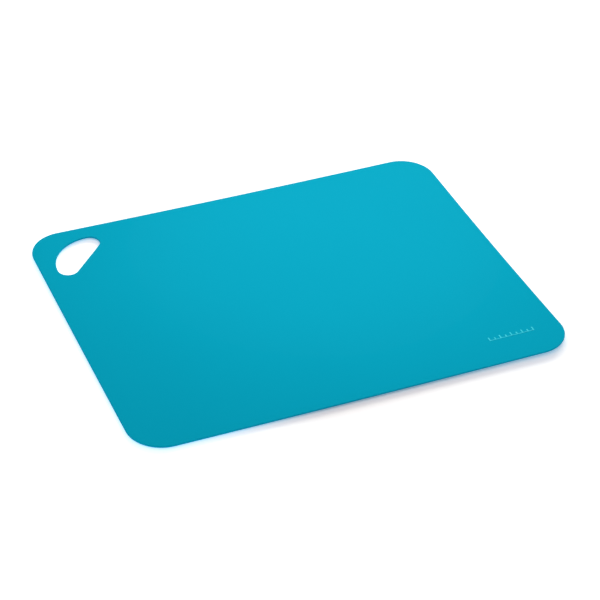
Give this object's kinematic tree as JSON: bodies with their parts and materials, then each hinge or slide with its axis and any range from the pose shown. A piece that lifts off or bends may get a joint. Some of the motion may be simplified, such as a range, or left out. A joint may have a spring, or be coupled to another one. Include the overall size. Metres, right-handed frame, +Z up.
{
  "type": "flexible cutting mat",
  "caption": "Thin flexible cutting mat with rounded corners and a D-shaped hang and grip hole across one corner; both ends curl up into a chute and spring flat.",
  "frame": {"origin": "on the surface that the mat lies on, under the middle of the sheet", "axes": "+X along the long side, away from the hole's end; +Y across it towards the long edge beside the hole; +Z up out of the upper face"},
  "size_m": [0.38, 0.305, 0.0016],
  "materials": {
    "sheet": "satin moulded face, the same on both sides",
    "ink": "pale printed ink"
  },
  "bodies": {
    "centre": {"centre_strip": "sheet"},
    "left_1": {"left_strip_1": "sheet"},
    "left_2": {"left_strip_2": "sheet"},
    "left_3": {"left_strip_3": "sheet"},
    "left_4": {"left_strip_4": "sheet"},
    "left_5": {"left_strip_5": "sheet"},
    "left_end": {"left_end_panel": "sheet"},
    "right_1": {"right_strip_1": "sheet"},
    "right_2": {"right_strip_2": "sheet"},
    "right_3": {"right_strip_3": "sheet"},
    "right_4": {"right_strip_4": "sheet"},
    "right_5": {"right_strip_5": "sheet"},
    "right_end": {"right_end_panel": "sheet", "printed_scale": "ink"}
  },
  "joints": [
    {"name": "left_bend_1", "type": "hinge", "parent": "centre", "child": "left_1", "pos_m": [-0.025, 0, 0.00075], "axis": [0, 1, 0], "range_deg": [0, 15], "stiffness_Nm_per_rad": 1.6},
    {"name": "left_bend_2", "type": "hinge", "parent": "left_1", "child": "left_2", "pos_m": [-0.041, 0, 0.00075], "axis": [0, 1, 0], "range_deg": [0, 15], "stiffness_Nm_per_rad": 1.6},
    {"name": "left_bend_3", "type": "hinge", "parent": "left_2", "child": "left_3", "pos_m": [-0.057, 0, 0.00075], "axis": [0, 1, 0], "range_deg": [0, 15], "stiffness_Nm_per_rad": 1.6},
    {"name": "left_bend_4", "type": "hinge", "parent": "left_3", "child": "left_4", "pos_m": [-0.073, 0, 0.00075], "axis": [0, 1, 0], "range_deg": [0, 15], "stiffness_Nm_per_rad": 1.6},
    {"name": "left_bend_5", "type": "hinge", "parent": "left_4", "child": "left_5", "pos_m": [-0.089, 0, 0.00075], "axis": [0, 1, 0], "range_deg": [0, 15], "stiffness_Nm_per_rad": 1.6},
    {"name": "left_bend_6", "type": "hinge", "parent": "left_5", "child": "left_end", "pos_m": [-0.105, 0, 0.00075], "axis": [0, 1, 0], "range_deg": [0, 15], "stiffness_Nm_per_rad": 1.6},
    {"name": "right_bend_1", "type": "hinge", "parent": "centre", "child": "right_1", "pos_m": [0.025, 0, 0.00075], "axis": [0, -1, 0], "range_deg": [0, 15], "stiffness_Nm_per_rad": 1.6},
    {"name": "right_bend_2", "type": "hinge", "parent": "right_1", "child": "right_2", "pos_m": [0.041, 0, 0.00075], "axis": [0, -1, 0], "range_deg": [0, 15], "stiffness_Nm_per_rad": 1.6},
    {"name": "right_bend_3", "type": "hinge", "parent": "right_2", "child": "right_3", "pos_m": [0.057, 0, 0.00075], "axis": [0, -1, 0], "range_deg": [0, 15], "stiffness_Nm_per_rad": 1.6},
    {"name": "right_bend_4", "type": "hinge", "parent": "right_3", "child": "right_4", "pos_m": [0.073, 0, 0.00075], "axis": [0, -1, 0], "range_deg": [0, 15], "stiffness_Nm_per_rad": 1.6},
    {"name": "right_bend_5", "type": "hinge", "parent": "right_4", "child": "right_5", "pos_m": [0.089, 0, 0.00075], "axis": [0, -1, 0], "range_deg": [0, 15], "stiffness_Nm_per_rad": 1.6},
    {"name": "right_bend_6", "type": "hinge", "parent": "right_5", "child": "right_end", "pos_m": [0.105, 0, 0.00075], "axis": [0, -1, 0], "range_deg": [0, 15], "stiffness_Nm_per_rad": 1.6}
  ],
  "couplings": [
    {"joint": "left_bend_2", "follows": "left_bend_1", "ratio": 1},
    {"joint": "left_bend_3", "follows": "left_bend_1", "ratio": 1},
    {"joint": "left_bend_4", "follows": "left_bend_1", "ratio": 1},
    {"joint": "left_bend_5", "follows": "left_bend_1", "ratio": 1},
    {"joint": "left_bend_6", "follows": "left_bend_1", "ratio": 1},
    {"joint": "right_bend_2", "follows": "right_bend_1", "ratio": 1},
    {"joint": "right_bend_3", "follows": "right_bend_1", "ratio": 1},
    {"joint": "right_bend_4", "follows": "right_bend_1", "ratio": 1},
    {"joint": "right_bend_5", "follows": "right_bend_1", "ratio": 1},
    {"joint": "right_bend_6", "follows": "right_bend_1", "ratio": 1}
  ]
}
